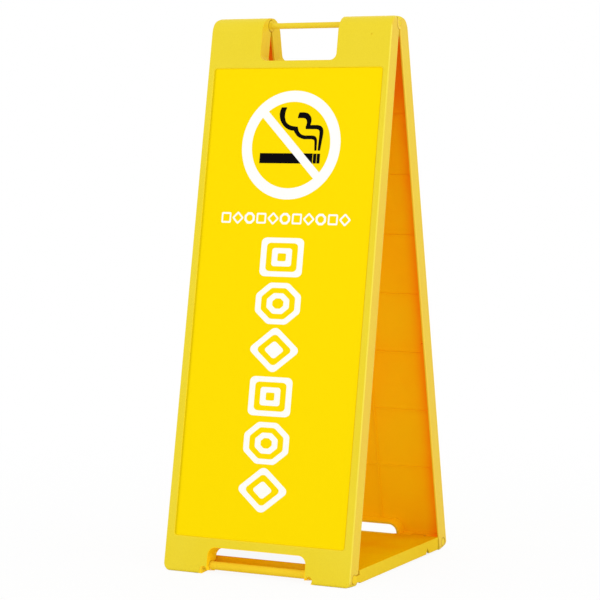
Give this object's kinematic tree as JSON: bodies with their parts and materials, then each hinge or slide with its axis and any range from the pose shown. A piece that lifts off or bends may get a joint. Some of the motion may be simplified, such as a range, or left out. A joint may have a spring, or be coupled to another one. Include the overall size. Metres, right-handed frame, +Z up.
{
  "type": "folding floor message sign",
  "caption": "Free-standing folding floor sign: hinged plastic leaves with a recessed message panel each, grip bar on top and a base board between the feet.",
  "frame": {"origin": "on the floor, at the middle of the box that holds the standing sign", "axes": "+Z up, +X across the sign, -Y towards the front reader"},
  "size_m": [0.3, 0.3442, 0.8],
  "materials": {
    "leaf_plastic": "satin moulded, fine grain",
    "board_plastic": "satin moulded, fine grain",
    "rod_plastic": "smooth satin",
    "message_print": "printed sheet, semi-gloss"
  },
  "bodies": {
    "front": {"front_leaf": "leaf_plastic", "front_message_panel": "message_print", "handle_rod": "rod_plastic"},
    "rear": {"rear_leaf": "leaf_plastic", "rear_message_panel": "message_print", "foot_rod": "rod_plastic"},
    "board": {"base_board": "board_plastic"}
  },
  "joints": [
    {"name": "leaf_hinge", "type": "hinge", "parent": "front", "child": "rear", "pos_m": [0, 0, 0.7885], "axis": [1, 0, 0], "range_deg": [0, 3.5]},
    {"name": "board_hinge", "type": "hinge", "parent": "front", "child": "board", "pos_m": [0, -0.15773, 0.011], "axis": [1, 0, 0], "range_deg": [0, 6]}
  ]
}
